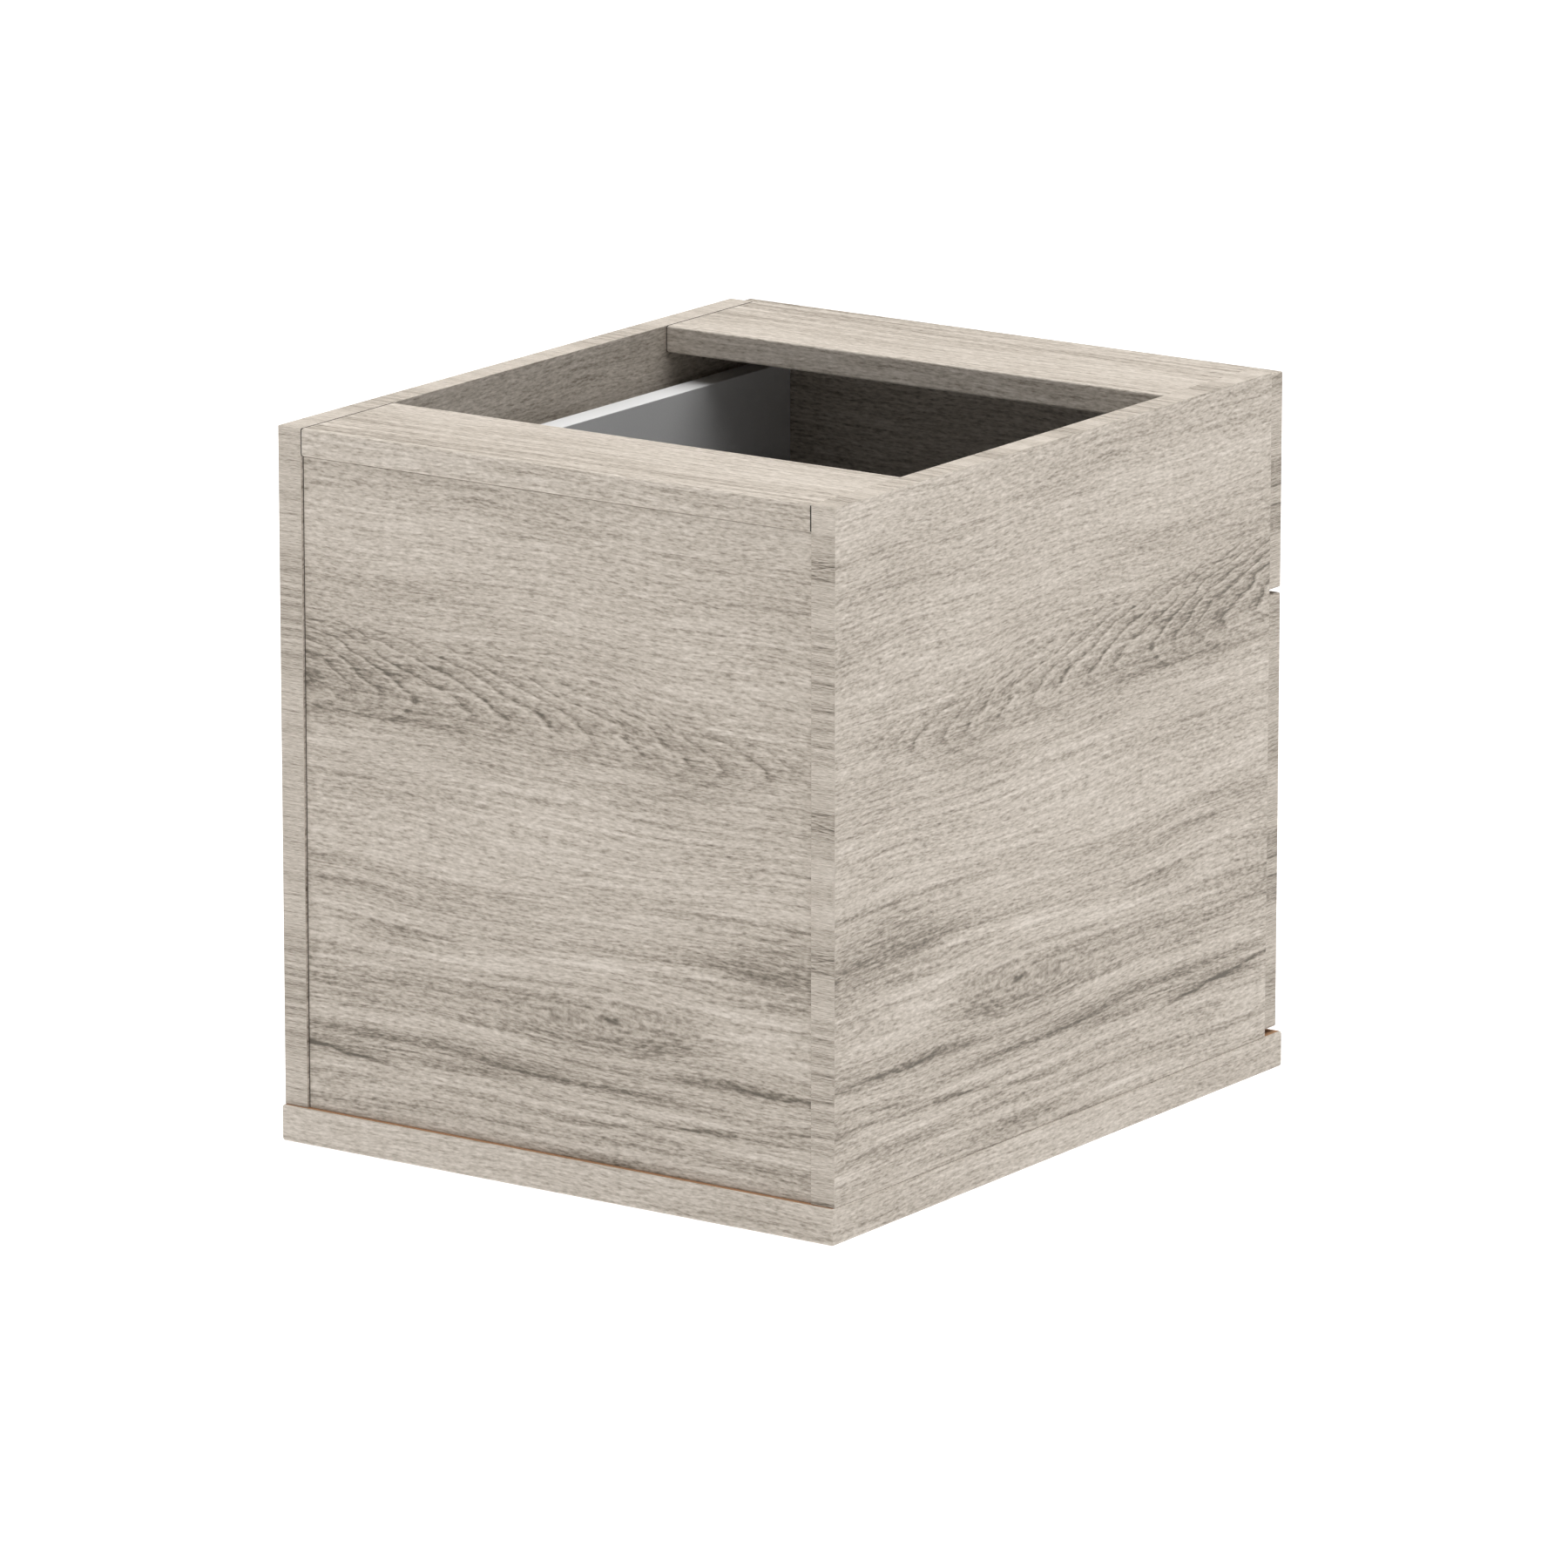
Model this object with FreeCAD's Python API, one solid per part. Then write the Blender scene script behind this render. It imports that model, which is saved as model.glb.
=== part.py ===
"""Two-drawer cabinet unit of laminated board, open at the top for a worktop. Millimetres.

Frame: +Z up, the drawers open towards -Y, X to the right for a person facing the drawers.
The origin is the middle of the base's underside. Left and right are that person's.
"""

import FreeCAD, Part
import os

# ---------------------------------------------------------------- driving dimensions
CARCASS_WIDTH = 430.0          # over the two side panels
PANEL_DEPTH = 500.0            # side panel, front edge to rear edge
PANEL_HEIGHT = 447.0           # side panel
BOARD = 18.0                   # laminated board: carcass, fronts and drawer boxes
PANEL_ROUND = 0.4
BACK_RECESS = 2.0              # back panel, in from the side panels' rear edges

BASE_THICKNESS = 24.0
BASE_SIDE_OVERHANG = 1.0
BASE_REAR_OVERHANG = 3.0
BASE_FRONT_OVERHANG = 20.0     # reaches under the overlapping fronts
BASE_ROUND = 2.0

FRONT_RAIL_WIDTH = 100.0
REAR_RAIL_WIDTH = 98.0
RAIL_ROUND = 1.5               # long edges
RAIL_END_ROUND = 0.3

FRONT_INSET = 3.0              # each end of a front, in from the side panel's outer face
FRONT_TO_CARCASS = 0.5
FRONT_ROUND = 1.5
REVEAL_BOTTOM = 3.0            # under the lower front
REVEAL_MIDDLE = 3.5            # between the fronts
REVEAL_TOP = 2.5               # upper front below the carcass top
UPPER_FRONT_HEIGHT = 144.0

BOX_DEPTH = 452.0              # drawer side, front end to rear end
BOX_ROUND = 0.5
UPPER_BOX_HEIGHT = 100.0
UPPER_BOX_BELOW_TOP = 37.5     # drawer side's top edge below the carcass top
LOWER_BOX_HEIGHT = 240.0
LOWER_BOX_LIFT = 14.0          # drawer side's lower edge above the base
BOTTOM_THICKNESS = 6.0
BOTTOM_LIFT = 12.0             # drawer bottom above the drawer side's lower edge
GROOVE_DEPTH = 7.0
GROOVE_PLAY = 0.2

RUNNER_SPACE = 12.7            # between side panel and drawer side
RUNNER_LENGTH = 450.0
RUNNER_SETBACK = 2.5           # behind the side panel's front edge
RUNNER_HEIGHT = 45.0
SHEET = 1.2                    # runner steel
SHEET_ROUND = 0.4
LIP = 2.3
BALL = 3.2
BALL_PLAY = 0.03               # on each side of a ball
CAGE_SHEET = 0.5
CAGE_LENGTH = 195.0
CAGE_START = 130.0             # cage's front end behind the runner's front end
BALLS_IN_ROW = 6
# Runner sections, measured from the side panel: a member's web, how far its flanges reach, its balls.
OUTER_REACH = 10.5
MIDDLE_WEB, MIDDLE_REACH = 4.4, 11.0
INNER_REACH = 7.4
OUTER_CAGE_WEB, OUTER_CAGE_REACH, OUTER_BALLS = 3.1, 8.8, 6.8
INNER_CAGE_WEB, INNER_CAGE_REACH, INNER_BALLS = 5.9, 10.3, 8.2
RUNNER_SCREWS = (35.0, 225.0, 415.0)   # behind the runner's front end

HANDLE_SPACING = 160.0
HANDLE_BELOW_TOP = 35.0
BAR_LENGTH, BAR_DEPTH, BAR_HEIGHT, BAR_ROUND = 180.0, 8.0, 12.0, 2.0
POST_DIAMETER, POST_LENGTH = 9.0, 22.0
HANDLE_SCREW_IN_POST = 8.0

DRILL_PLAY = 0.06              # a hole's diameter over what fills it
DOWEL_DIAMETER = 8.0
DOWEL_IN_FACE = 12.0           # hole depths; the dowel is a little shorter
DOWEL_IN_EDGE = 20.0
DOWEL_END_ROOM = 1.0
DOWEL_CHAMFER = 0.8

CAM_DIAMETER, CAM_DEPTH = 15.0, 12.5
CAM_FROM_END = 24.0            # cam's centre to the board's end
CAM_BELOW_FACE = 0.2
CAM_BORE_SPARE = 0.3           # deeper than the cam
CAM_CROSS, CAM_CROSS_DEPTH = 4.5, 1.8
SLOT_PLAY, SLOT_PAST_CENTRE = 0.2, 2.5
BOLT_SHAFT, BOLT_THREAD, BOLT_IN_FACE = 7.0, 5.0, 11.0
BOLT_NECK, BOLT_HEAD, BOLT_HEAD_LENGTH, BOLT_HEAD_BACK = 3.5, 6.0, 3.0, 2.0
BOLT_END_ROOM = 0.5

SCREW_DIAMETER, SCREW_LENGTH = 4.0, 14.0
BACK_SCREW_DIAMETER, BACK_SCREW_LENGTH = 5.0, 50.0
HEAD_HEIGHT = 0.5              # screw heads, as shares of the screw's diameter
PAN_HEIGHT, PAN_ROUND = 0.35, 0.15
CROSS_SIZE, CROSS_DEPTH = 0.55, 0.225
SCREW_HOLE_SPARE = 1.5         # deeper than the screw
TOOL_OVERRUN = 1.0             # how far a cutting tool stands out of the face that it enters

# Places of the joints' fittings.
RAIL_DOWELS = (-32.0, 32.0)                # front to rear, from the middle of a rail's width
BACK_CAMS, BACK_DOWELS = (120.0, 360.0), (60.0, 240.0, 420.0)          # above the floor
BASE_CAMS, BASE_DOWELS = (-150.0, 150.0), (-200.0, 0.0, 200.0)         # front to rear
BACK_EDGE_DOWELS = (-110.0, 110.0)         # left to right, in the back panel's top and bottom edges
# Drawer boxes: cams, dowels and screws above the drawer side's lower edge.
UPPER_BOX_FITTINGS = ((27.0, 80.0), (52.0,), (30.0, 80.0))
LOWER_BOX_FITTINGS = ((30.0, 210.0), (80.0, 160.0), (40.0, 200.0))

# ---------------------------------------------------------------- derived places
HALF_WIDTH = CARCASS_WIDTH / 2
INNER_HALF = HALF_WIDTH - BOARD
BASE_DEPTH = PANEL_DEPTH + BASE_REAR_OVERHANG + BASE_FRONT_OVERHANG
Y_FRONT = -BASE_DEPTH / 2 + BASE_FRONT_OVERHANG
Y_REAR = Y_FRONT + PANEL_DEPTH
Z_BASE = BASE_THICKNESS
Z_TOP = Z_BASE + PANEL_HEIGHT
Z_RAIL = Z_TOP - BOARD
BACK_MIDDLE = Y_REAR - BACK_RECESS - BOARD / 2

FRONT_BACK = Y_FRONT - FRONT_TO_CARCASS
FRONT_FACE = FRONT_BACK - BOARD
LOWER_FRONT_Z = Z_BASE + REVEAL_BOTTOM
UPPER_FRONT_Z = Z_TOP - REVEAL_TOP - UPPER_FRONT_HEIGHT
LOWER_FRONT_HEIGHT = UPPER_FRONT_Z - REVEAL_MIDDLE - LOWER_FRONT_Z

BOX_HALF = INNER_HALF - RUNNER_SPACE
BOX_INNER_HALF = BOX_HALF - BOARD
BOX_REAR = FRONT_BACK + BOX_DEPTH
RUNNER_FRONT = Y_FRONT + RUNNER_SETBACK
RUNNER_REAR = RUNNER_FRONT + RUNNER_LENGTH

V = FreeCAD.Vector
X, Y, Z = V(1, 0, 0), V(0, 1, 0), V(0, 0, 1)
LEFT_RIGHT = (("left", -1), ("right", 1))

holes = {}                     # board name -> tools that drill it
parts = {}                     # node name -> list of solids


# ---------------------------------------------------------------- helpers
def box(x0, x1, y0, y1, z0, z1):
    """A box between two corners; each pair may come in either order."""
    corner = V(min(x0, x1), min(y0, y1), min(z0, z1))
    return Part.makeBox(abs(x1 - x0), abs(y1 - y0), abs(z1 - z0), corner)


def rod(start, direction, length, diameter):
    return Part.makeCylinder(diameter / 2, length, start, direction)


def rounded(solid, radius, along=None):
    """Round all edges, or only those along one axis."""
    edges = solid.Edges
    if along:
        edges = [e for e in edges if abs(e.tangentAt(e.FirstParameter).dot(along)) > 0.99]
    return solid.makeFillet(radius, edges)


def fused(*solids):
    """Join solids that touch or overlap into one."""
    whole = solids[0].fuse(list(solids[1:])).removeSplitter()
    assert len(whole.Solids) == 1, "the pieces don't meet"
    return whole.Solids[0]


def placed(solid, at, inward, outward):
    """Turn a local shape so that its +Z is inward and its +X is outward, and move it to at."""
    turn = FreeCAD.Rotation(outward, inward.cross(outward), inward, "ZXY")
    moved = solid.copy()
    moved.Placement = FreeCAD.Placement(at, turn)
    return moved


def add(node, *solids):
    parts.setdefault(node, []).extend(solids)


def drill(boards, *tools):
    for board in boards:
        holes.setdefault(board, []).extend(tools)


def cross_recess(size, depth):
    """Two crossed slots that go down from Z = 0, for a screwdriver."""
    arm = size / 6
    return [box(-a, a, -b, b, -depth, TOOL_OVERRUN) for a, b in ((size, arm), (arm, size))]


# ---------------------------------------------------------------- fittings
def dowel(node, boards, at, inward, outward):
    """A wooden dowel across a joint plane: inward goes into the board that shows its edge."""
    length = DOWEL_IN_EDGE + DOWEL_IN_FACE
    tool = rod(V(0, 0, -DOWEL_IN_FACE), Z, length, DOWEL_DIAMETER + DRILL_PLAY)
    pin = rod(V(0, 0, DOWEL_END_ROOM - DOWEL_IN_FACE), Z, length - 2 * DOWEL_END_ROOM,
              DOWEL_DIAMETER)
    ends = [e for e in pin.Edges if len(e.Vertexes) == 1]
    add(node, placed(pin.makeChamfer(DOWEL_CHAMFER, ends), at, inward, outward))
    drill(boards, placed(tool, at, inward, outward))


def cam_fitting(name, boards, at, inward, outward):
    """A cam lock and the bolt that it draws in. inward runs along the bolt from the joint plane
    into the board that holds the cam, and outward leaves the face that the cam is pressed into."""
    face = BOARD / 2
    bore = rod(V(face + TOOL_OVERRUN, 0, CAM_FROM_END), -X, TOOL_OVERRUN + CAM_DEPTH + CAM_BORE_SPARE,
               CAM_DIAMETER + DRILL_PLAY)
    bolt_hole = rod(V(0, 0, 0), Z, CAM_FROM_END, BOLT_SHAFT + DRILL_PLAY)
    thread_hole = rod(V(0, 0, -BOLT_IN_FACE), Z, BOLT_IN_FACE, BOLT_THREAD + DRILL_PLAY)
    drill(boards, *[placed(t, at, inward, outward) for t in (bore, bolt_hole, thread_hole)])

    thread = rod(V(0, 0, BOLT_END_ROOM - BOLT_IN_FACE), Z, BOLT_IN_FACE - BOLT_END_ROOM, BOLT_THREAD)
    shaft = rod(V(0, 0, 0), Z, CAM_FROM_END - CAM_DIAMETER / 2 - BOLT_END_ROOM, BOLT_SHAFT)
    neck = rod(V(0, 0, 0), Z, CAM_FROM_END, BOLT_NECK)
    head = rod(V(0, 0, CAM_FROM_END - BOLT_HEAD_BACK), Z, BOLT_HEAD_LENGTH, BOLT_HEAD)
    bolt = fused(thread, shaft, neck, head)
    add(name + "_cam_bolts", placed(bolt, at, inward, outward))

    cam_top = V(face - CAM_BELOW_FACE, 0, CAM_FROM_END)
    cam = rod(cam_top, -X, CAM_DEPTH - CAM_BELOW_FACE, CAM_DIAMETER)
    half_slot = BOLT_SHAFT / 2 + SLOT_PLAY
    slot = box(-half_slot, half_slot, -half_slot, half_slot, 0, CAM_FROM_END + SLOT_PAST_CENTRE)
    recess = [placed(s, cam_top, X, Z) for s in cross_recess(CAM_CROSS, CAM_CROSS_DEPTH)]
    add(name + "_cam_locks", placed(cam.cut([slot] + recess), at, inward, outward))


def screw(node, boards, seat, direction, length, diameter, flush=False):
    """A screw that goes in along direction. Its head stands on seat, or is countersunk in it."""
    head_radius, head_height = diameter, diameter * HEAD_HEIGHT
    outward = Z if abs(direction.z) < 0.5 else X
    shank = rod(V(0, 0, 0), Z, length, diameter)
    if flush:
        head = Part.makeCone(head_radius, diameter / 2, head_height)
        room = Part.makeCone(head_radius + DRILL_PLAY, diameter / 2 + DRILL_PLAY, head_height)
        drill(boards, placed(room, seat, direction, outward))
        top = 0
    else:
        top = -diameter * PAN_HEIGHT
        head = rod(V(0, 0, top), Z, -top, head_radius * 2)
        rim = [e for e in head.Edges if len(e.Vertexes) == 1 and e.BoundBox.ZMax < top / 2]
        head = head.makeFillet(diameter * PAN_ROUND, rim)
    recess = cross_recess(diameter * CROSS_SIZE, diameter * CROSS_DEPTH)
    recess = [placed(s, V(0, 0, top), -Z, X) for s in recess]
    add(node, placed(fused(shank, head).cut(recess), seat, direction, outward))
    overrun = 0 if flush else TOOL_OVERRUN
    hole = rod(V(0, 0, -overrun), Z, length + SCREW_HOLE_SPARE, diameter + DRILL_PLAY)
    drill(boards, placed(hole, seat, direction, outward))


# ---------------------------------------------------------------- carcass
def make_carcass():
    for name, side in LEFT_RIGHT:
        panel = box(side * INNER_HALF, side * HALF_WIDTH, Y_FRONT, Y_REAR, Z_BASE, Z_TOP)
        add("side_panel_" + name, rounded(panel, PANEL_ROUND))
    back = box(-INNER_HALF, INNER_HALF, BACK_MIDDLE - BOARD / 2, BACK_MIDDLE + BOARD / 2,
               Z_BASE, Z_RAIL)
    add("back_panel", rounded(back, PANEL_ROUND))
    for name, y0, y1 in (("front_top_rail", Y_FRONT, Y_FRONT + FRONT_RAIL_WIDTH),
                         ("rear_top_rail", Y_REAR - REAR_RAIL_WIDTH, Y_REAR)):
        rail = rounded(box(-INNER_HALF, INNER_HALF, y0, y1, Z_RAIL, Z_TOP), RAIL_ROUND, X)
        ends = [e for e in rail.Edges if abs(abs(e.CenterOfMass.x) - INNER_HALF) < 0.01]
        add(name, rail.makeFillet(RAIL_END_ROUND, ends))
    half_base = HALF_WIDTH + BASE_SIDE_OVERHANG
    base = box(-half_base, half_base, -BASE_DEPTH / 2, BASE_DEPTH / 2, 0, BASE_THICKNESS)
    add("base_panel", rounded(base, BASE_ROUND))


def join_carcass():
    rail_rows = (("front_top_rail", Y_FRONT + FRONT_RAIL_WIDTH / 2),
                 ("rear_top_rail", Y_REAR - REAR_RAIL_WIDTH / 2))
    for name, side in LEFT_RIGHT:
        panel = "side_panel_" + name
        inward = -X * side
        for rail, y in rail_rows:
            at = V(side * INNER_HALF, y, Z_TOP - BOARD / 2)
            cam_fitting("rail", (rail, panel), at, inward, -Z)
            for dy in RAIL_DOWELS:
                dowel("rail_dowels", (rail, panel), at + Y * dy, inward, -Z)
        for z in BACK_CAMS:
            at = V(side * INNER_HALF, BACK_MIDDLE, z)
            cam_fitting("back", ("back_panel", panel), at, inward, -Y)
        for z in BACK_DOWELS:
            at = V(side * INNER_HALF, BACK_MIDDLE, z)
            dowel("back_dowels", ("back_panel", panel), at, inward, -Y)
        for y in BASE_CAMS:
            at = V(side * (HALF_WIDTH - BOARD / 2), y, Z_BASE)
            cam_fitting("base", (panel, "base_panel"), at, Z, inward)
        for y in BASE_DOWELS:
            at = V(side * (HALF_WIDTH - BOARD / 2), y, Z_BASE)
            dowel("base_dowels", (panel, "base_panel"), at, Z, inward)
    for x in BACK_EDGE_DOWELS:
        dowel("back_dowels", ("back_panel", "rear_top_rail"), V(x, BACK_MIDDLE, Z_RAIL), -Z, -Y)
        dowel("base_dowels", ("back_panel", "base_panel"), V(x, BACK_MIDDLE, Z_BASE), Z, -Y)


# ---------------------------------------------------------------- runners
def channel(side, z, web, reach, half_height, lip, y0, y1, sheet):
    """A channel along Y. web and reach are distances from the side panel: where the web's outer
    side lies and how far the two flanges go. lip is how far each flange turns in at its end."""
    def across(a, b, v0, v1):
        return box(side * (INNER_HALF - a), side * (INNER_HALF - b), y0, y1, z + v0, z + v1)

    step = sheet if reach > web else -sheet
    pieces = []
    for v in (-1, 1):
        pieces.append(across(web, reach, v * (half_height - sheet), v * half_height))
        if lip:
            pieces.append(across(reach - step, reach, v * (half_height - lip), v * half_height))
    web_plate = across(web, web + step, -half_height, half_height)
    return fused(web_plate, *pieces)


def ball_cage(side, z, web, reach, row, ball_at):
    """A sheet strip between two runner members, with a row of balls above and one below."""
    y0 = RUNNER_FRONT + CAGE_START
    half_height = row + CAGE_SHEET / 2
    cage = channel(side, z, web, reach, half_height, 0, y0, y0 + CAGE_LENGTH, CAGE_SHEET)
    pitch = CAGE_LENGTH / BALLS_IN_ROW
    balls = []
    for i in range(BALLS_IN_ROW):
        for v in (-row, row):
            centre = V(side * (INNER_HALF - ball_at), y0 + pitch * (i + 0.5), z + v)
            balls.append(Part.makeSphere(BALL / 2, centre))
    return fused(cage, *balls)


def make_runners(drawer, z):
    """Both runners of a drawer, nested from the side panel to the drawer side: outer member,
    cage, intermediate member, cage, inner member."""
    ball_room = BALL + 2 * BALL_PLAY
    outer_half = RUNNER_HEIGHT / 2
    mid_half = outer_half - SHEET - ball_room
    inner_half = mid_half - SHEET - ball_room
    outer_row = mid_half + ball_room / 2
    inner_row = inner_half + ball_room / 2
    y0, y1 = RUNNER_FRONT, RUNNER_REAR
    for name, side in LEFT_RIGHT:
        outer = channel(side, z, 0, OUTER_REACH, outer_half, LIP, y0, y1, SHEET)
        middle = channel(side, z, MIDDLE_WEB, MIDDLE_REACH, mid_half, LIP, y0, y1, SHEET)
        inner = channel(side, z, RUNNER_SPACE, INNER_REACH, inner_half, 0, y0, y1, SHEET)
        for member, solid in (("outer", outer), ("middle", middle), ("inner", inner)):
            add(f"{drawer}_runner_{member}_{name}", rounded(solid, SHEET_ROUND, Y))
        add(f"{drawer}_outer_ball_cages",
            ball_cage(side, z, OUTER_CAGE_WEB, OUTER_CAGE_REACH, outer_row, OUTER_BALLS))
        add(f"{drawer}_inner_ball_cages",
            ball_cage(side, z, INNER_CAGE_WEB, INNER_CAGE_REACH, inner_row, INNER_BALLS))
        for behind in RUNNER_SCREWS:
            y = y0 + behind
            seat = V(side * (INNER_HALF - SHEET), y, z)
            screw(f"{drawer}_runner_outer_screws",
                  ("side_panel_" + name, f"{drawer}_runner_outer_{name}"),
                  seat, X * side, SCREW_LENGTH, SCREW_DIAMETER)
            seat = V(side * (BOX_HALF + SHEET), y, z)
            screw(f"{drawer}_runner_inner_screws",
                  (f"{drawer}_side_{name}", f"{drawer}_runner_inner_{name}"),
                  seat, -X * side, SCREW_LENGTH, SCREW_DIAMETER)


# ---------------------------------------------------------------- drawers
def make_box(drawer, z, height, cam_heights, dowel_heights, screw_heights):
    """The drawer's two sides, back and bottom, and what holds them to the front."""
    front, back = drawer + "_front", drawer + "_back"
    back_front = BOX_REAR - BOARD
    groove_half = BOX_INNER_HALF + GROOVE_DEPTH
    groove_z = z + BOTTOM_LIFT
    groove_top = groove_z + BOTTOM_THICKNESS + GROOVE_PLAY
    for name, side in LEFT_RIGHT:
        board = f"{drawer}_side_{name}"
        add(board, rounded(box(side * BOX_INNER_HALF, side * BOX_HALF, FRONT_BACK, BOX_REAR,
                               z, z + height), BOX_ROUND))
        middle = side * (BOX_HALF - BOARD / 2)
        for h in cam_heights:
            cam_fitting(drawer + "_front", (board, front), V(middle, FRONT_BACK, z + h), Y,
                        X * side)
        for h in dowel_heights:
            dowel(drawer + "_front_dowels", (board, front), V(middle, FRONT_BACK, z + h), Y,
                  X * side)
        for h in screw_heights:
            seat = V(side * BOX_HALF, BOX_REAR - BOARD / 2, z + h)
            screw(drawer + "_back_screws", (board, back), seat, -X * side,
                  BACK_SCREW_LENGTH, BACK_SCREW_DIAMETER, flush=True)
    add(back, rounded(box(-BOX_INNER_HALF, BOX_INNER_HALF, back_front, BOX_REAR,
                          z, z + height), BOX_ROUND))
    groove = box(-groove_half, groove_half, FRONT_BACK - GROOVE_DEPTH,
                 back_front + GROOVE_DEPTH, groove_z, groove_top)
    side_groove = box(-groove_half, groove_half, FRONT_BACK - TOOL_OVERRUN,
                      BOX_REAR + TOOL_OVERRUN, groove_z, groove_top)
    drill((front, back), groove)
    drill((f"{drawer}_side_left", f"{drawer}_side_right"), side_groove)
    play = GROOVE_PLAY
    add(drawer + "_bottom", box(play - groove_half, groove_half - play,
                                FRONT_BACK - GROOVE_DEPTH + play,
                                back_front + GROOVE_DEPTH - play,
                                groove_z, groove_z + BOTTOM_THICKNESS))


def make_front(drawer, z, height):
    """The overlapping front and its bar handle."""
    half = HALF_WIDTH - FRONT_INSET
    front = box(-half, half, FRONT_FACE, FRONT_BACK, z, z + height)
    add(drawer + "_front", rounded(front, FRONT_ROUND))
    bar_z = z + height - HANDLE_BELOW_TOP
    bar_back = FRONT_FACE - POST_LENGTH
    bar = box(-BAR_LENGTH / 2, BAR_LENGTH / 2, bar_back - BAR_DEPTH, bar_back,
              bar_z - BAR_HEIGHT / 2, bar_z + BAR_HEIGHT / 2)
    add(drawer + "_handle_bar", rounded(bar, BAR_ROUND))
    for x in (-HANDLE_SPACING / 2, HANDLE_SPACING / 2):
        add(drawer + "_handle_posts", rod(V(x, FRONT_FACE, bar_z), -Y, POST_LENGTH,
                                          POST_DIAMETER))
        screw(drawer + "_handle_screws", (drawer + "_front", drawer + "_handle_posts"),
              V(x, FRONT_BACK, bar_z), -Y, BOARD + HANDLE_SCREW_IN_POST, SCREW_DIAMETER)


# ---------------------------------------------------------------- build
def export(node, solids):
    """Drill the node's solids and write them as one STEP file."""
    tools = holes.get(node)
    if tools:
        solids = [whole.cut(tools) for whole in solids]
    solids = [solid for whole in solids for solid in whole.Solids]
    assert all(solid.isValid() for solid in solids), node
    shape = solids[0] if len(solids) == 1 else Part.makeCompound(solids)
    shape.exportStep(f"parts/{node}.step")


make_carcass()
join_carcass()
upper_box_z = Z_TOP - UPPER_BOX_BELOW_TOP - UPPER_BOX_HEIGHT
lower_box_z = Z_BASE + LOWER_BOX_LIFT
make_front("upper", UPPER_FRONT_Z, UPPER_FRONT_HEIGHT)
make_front("lower", LOWER_FRONT_Z, LOWER_FRONT_HEIGHT)
make_box("upper", upper_box_z, UPPER_BOX_HEIGHT, *UPPER_BOX_FITTINGS)
make_box("lower", lower_box_z, LOWER_BOX_HEIGHT, *LOWER_BOX_FITTINGS)
make_runners("upper", upper_box_z + UPPER_BOX_HEIGHT / 2)
make_runners("lower", lower_box_z + LOWER_BOX_HEIGHT / 2)

os.makedirs("parts", exist_ok=True)
for node, solids in parts.items():
    export(node, solids)
print(len(parts), "nodes")
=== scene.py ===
"""The finish, light and camera of a two-drawer base unit in grey oak laminate.

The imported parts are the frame. Every board, runner and fitting keeps its shape and gets a procedural
material. Lengths in the materials are millimetres, and everything else is in metres.
"""
import math

import bmesh
import bpy
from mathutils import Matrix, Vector


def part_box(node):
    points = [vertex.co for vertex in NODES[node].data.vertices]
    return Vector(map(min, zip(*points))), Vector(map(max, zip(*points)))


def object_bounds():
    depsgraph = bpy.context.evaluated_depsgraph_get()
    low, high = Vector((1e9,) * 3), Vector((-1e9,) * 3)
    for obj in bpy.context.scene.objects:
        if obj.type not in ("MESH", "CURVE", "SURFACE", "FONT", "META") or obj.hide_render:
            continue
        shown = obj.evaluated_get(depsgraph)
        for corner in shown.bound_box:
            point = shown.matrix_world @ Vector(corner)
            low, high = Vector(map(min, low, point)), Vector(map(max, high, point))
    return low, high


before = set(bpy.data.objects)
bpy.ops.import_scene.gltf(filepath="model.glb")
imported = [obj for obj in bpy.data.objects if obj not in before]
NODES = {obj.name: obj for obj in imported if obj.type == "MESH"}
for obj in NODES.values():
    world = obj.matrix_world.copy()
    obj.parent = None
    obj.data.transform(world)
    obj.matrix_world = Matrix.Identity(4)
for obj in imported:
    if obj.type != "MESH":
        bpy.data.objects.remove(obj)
cad_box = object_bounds()

MM = 1000.0

# Camera: the direction that it looks from, in degrees, its distance, its lens and what it aims at.
CAMERA_AZIMUTH = 214.8436
CAMERA_ELEVATION = 13.8271
CAMERA_DISTANCE = 7.23822
CAMERA_LENS = 253.35
CAMERA_SENSOR = 36.0
CAMERA_CLIP = (0.1, 200.0)
CAMERA_AIM = Vector((0.04739, -0.06342, 0.19476))

# Light: a bright overhead patch of sky in a dim one, with a white band along the horizon.
OVERHEAD_TOWARDS = Vector((-0.004, -0.095, 0.995))
OVERHEAD_STRENGTH = 3.4
OVERHEAD_EDGE = (0.70, 0.84)        # cosines of the angles off OVERHEAD_TOWARDS where it ends and is full
LOW_SKY_STRENGTH = 0.11
HORIZON_STRENGTH = 1.15
HORIZON_EDGE = (0.10, 0.16)         # sine of the elevations where the white band ends

FLOOR_RADIUS = 60.0
FLOOR_SEGMENTS = 96
FLOOR_DROP = 0.0002
FLOOR_COLOUR = (0.32, 0.32, 0.32, 1.0)
FLOOR_ROUGHNESS = 0.9
FLOOR_GLOW = 1.00                   # the floor is a lit white table, so that shadows on it stay pale
WHITE = (1.0, 1.0, 1.0, 1.0)

# Oak print, linear colours from the darkest streak to the palest fibre, by their place on the ramp.
OAK_DEEP = (0.120, 0.102, 0.080, 1.0)
OAK_DARK = (0.200, 0.170, 0.135, 1.0)
OAK_BROWN = (0.333, 0.289, 0.239, 1.0)
OAK_MEAN = (0.470, 0.416, 0.354, 1.0)
OAK_PALE = (0.680, 0.617, 0.548, 1.0)
OAK_RAMP = ((0.0, OAK_DEEP), (0.2, OAK_DARK), (0.4, OAK_BROWN), (0.6, OAK_MEAN), (1.0, OAK_PALE))
TONE_SCALE, TONE_MIDDLE = 0.4, 0.6  # a tone's place on the ramp

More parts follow.
